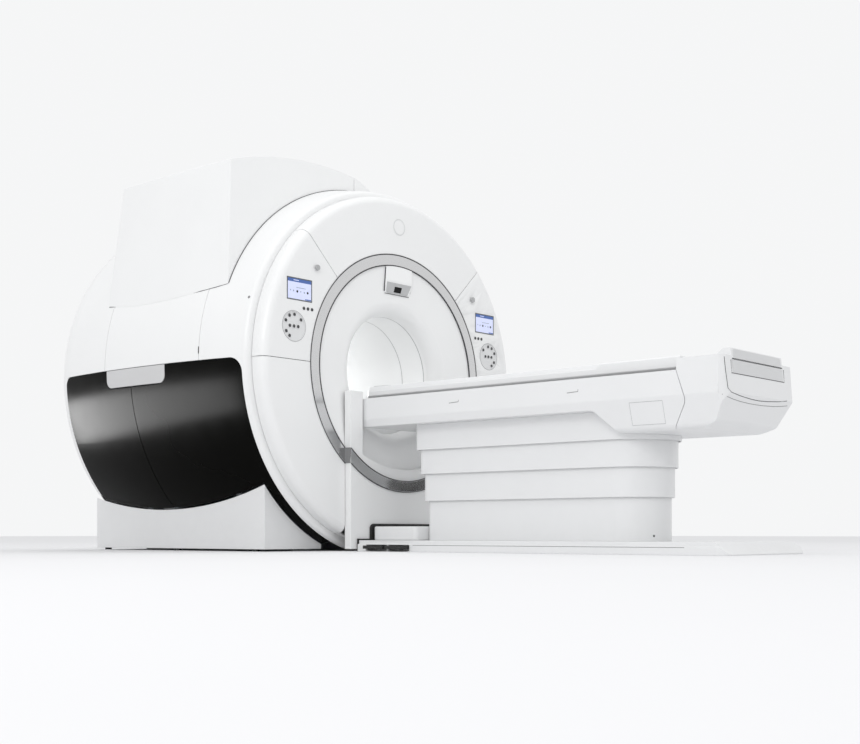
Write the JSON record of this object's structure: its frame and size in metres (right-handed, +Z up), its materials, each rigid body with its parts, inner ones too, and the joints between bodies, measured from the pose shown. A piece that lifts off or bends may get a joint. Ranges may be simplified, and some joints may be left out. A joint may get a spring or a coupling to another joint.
{
  "type": "mri scanner",
  "caption": "Tunnel magnet scanner under moulded covers with black side panels, with a lifting patient table and sliding cradle docked at its front.",
  "frame": {"origin": "on the floor below the isocentre, the middle of the magnet, at the centre of the four floor anchors", "axes": "+Z up, +Y along the bore away from the patient table, left side of the machine (seen from the table) at -X"},
  "size_m": [2.374, 4.27, 2.2759],
  "materials": {
    "cover_white": "smooth moulded covers, soft gloss",
    "table_white": "smooth moulded covers, satin gloss",
    "plinth_grey": "smooth, satin",
    "tab_grey": "light grey, satin",
    "panel_black": "piano black gloss",
    "ring_satin": "satin silver",
    "display": "lit screen behind clear plastic",
    "keys": "flat membrane keys in a shallow dish",
    "button_grey": "satin",
    "window_black": "dark clear window",
    "seal_rubber": "matt black seal",
    "cradle_board": "smooth moulded board",
    "port_grey": "smooth, satin",
    "handle_grey": "satin grey",
    "pedal_black": "ribbed black rubber",
    "foot_rubber": "black rubber",
    "frame_metal": "grey powder coat",
    "vessel_steel": "brushed stainless steel",
    "coil_resin": "cast resin over copper windings",
    "coil_copper": "glass fibre tube with copper rungs",
    "cold_head_metal": "turned aluminium",
    "chassis_aluminium": "milled aluminium",
    "lift_steel": "ground steel"
  },
  "bodies": {
    "root": {"black_panel_front_left": "panel_black", "black_panel_front_right": "panel_black", "black_panel_rear_left": "panel_black", "black_panel_rear_right": "panel_black", "body_coil": "coil_copper", "bore_bridge": "cover_white", "camera_hood": "cover_white", "camera_window": "window_black", "cold_head": "cold_head_metal", "column_base_cover": "table_white", "display_left": "display", "display_right": "display", "dock_bridge": "table_white", "dock_fairing": "cover_white", "dock_seal": "seal_rubber", "floor_frame": "frame_metal", "floor_plate": "table_white", "front_cover_lower_left": "cover_white", "front_cover_lower_right": "cover_white", "front_cover_top": "cover_white", "front_cover_upper_left": "cover_white", "front_cover_upper_right": "cover_white", "front_frame": "frame_metal", "front_shell": "cover_white", "gradient_coil": "coil_resin", "key_dish_left": "keys", "key_dish_right": "keys", "latch_tab_left": "tab_grey", "latch_tab_right": "tab_grey", "levelling_feet": "foot_rubber", "lift_mast": "lift_steel", "magnet_vessel": "vessel_steel", "mouth_ring_lower": "ring_satin", "mouth_ring_upper": "ring_satin", "patient_tube": "cover_white", "plinth_left": "plinth_grey", "plinth_right": "plinth_grey", "rear_cover": "cover_white", "rear_funnel": "cover_white", "rear_shell": "cover_white", "side_frame": "frame_metal", "top_housing": "cover_white", "top_housing_end": "cover_white", "tunnel_funnel": "cover_white", "upper_shell": "cover_white"},
    "table": {"table_cover_left": "table_white", "table_cover_right": "table_white", "table_end_cap": "table_white", "table_chassis": "chassis_aluminium", "lift_ram": "lift_steel", "column_cover_top": "table_white"},
    "column_upper": {"column_cover_middle": "table_white"},
    "column_lower": {"column_cover_lower": "table_white"},
    "cradle": {"cradle": "cradle_board", "port_cover": "port_grey"},
    "end_handle": {"end_handle": "handle_grey"},
    "pedal_up": {"pedal_up": "pedal_black"},
    "pedal_down": {"pedal_down": "pedal_black"},
    "stop_button_left": {"stop_button_left": "button_grey"},
    "stop_button_right": {"stop_button_right": "button_grey"}
  },
  "joints": [
    {"name": "table_lift", "type": "slide", "parent": "root", "child": "table", "axis": [0, 0, 1], "range_m": [-0.13, 0]},
    {"name": "column_upper_slide", "type": "slide", "parent": "root", "child": "column_upper", "axis": [0, 0, 1], "range_m": [-0.0868, 0]},
    {"name": "column_lower_slide", "type": "slide", "parent": "root", "child": "column_lower", "axis": [0, 0, 1], "range_m": [-0.0435, 0]},
    {"name": "cradle_slide", "type": "slide", "parent": "table", "child": "cradle", "axis": [0, 1, 0], "range_m": [0, 1.6]},
    {"name": "end_handle_hinge", "type": "hinge", "parent": "table", "child": "end_handle", "pos_m": [0, -3.309, 0.9], "axis": [-1, 0, 0], "range_deg": [0, 40]},
    {"name": "pedal_up_hinge", "type": "hinge", "parent": "root", "child": "pedal_up", "pos_m": [-0.345, -1.14, 0.024], "axis": [0, -1, 0], "range_deg": [0, 8], "stiffness_Nm_per_rad": 2, "springref_deg": -17.19},
    {"name": "pedal_down_hinge", "type": "hinge", "parent": "root", "child": "pedal_down", "pos_m": [-0.345, -1.311, 0.024], "axis": [0, -1, 0], "range_deg": [0, 8], "stiffness_Nm_per_rad": 2, "springref_deg": -17.19},
    {"name": "stop_button_left_press", "type": "slide", "parent": "root", "child": "stop_button_left", "axis": [0, 1, 0], "range_m": [0, 0.005], "stiffness_N_per_m": 800, "springref_m": -0.003},
    {"name": "stop_button_right_press", "type": "slide", "parent": "root", "child": "stop_button_right", "axis": [0, 1, 0], "range_m": [0, 0.005], "stiffness_N_per_m": 800, "springref_m": -0.003}
  ],
  "couplings": [
    {"joint": "column_upper_slide", "follows": "table_lift", "ratio": 0.6667},
    {"joint": "column_lower_slide", "follows": "table_lift", "ratio": 0.3333}
  ]
}
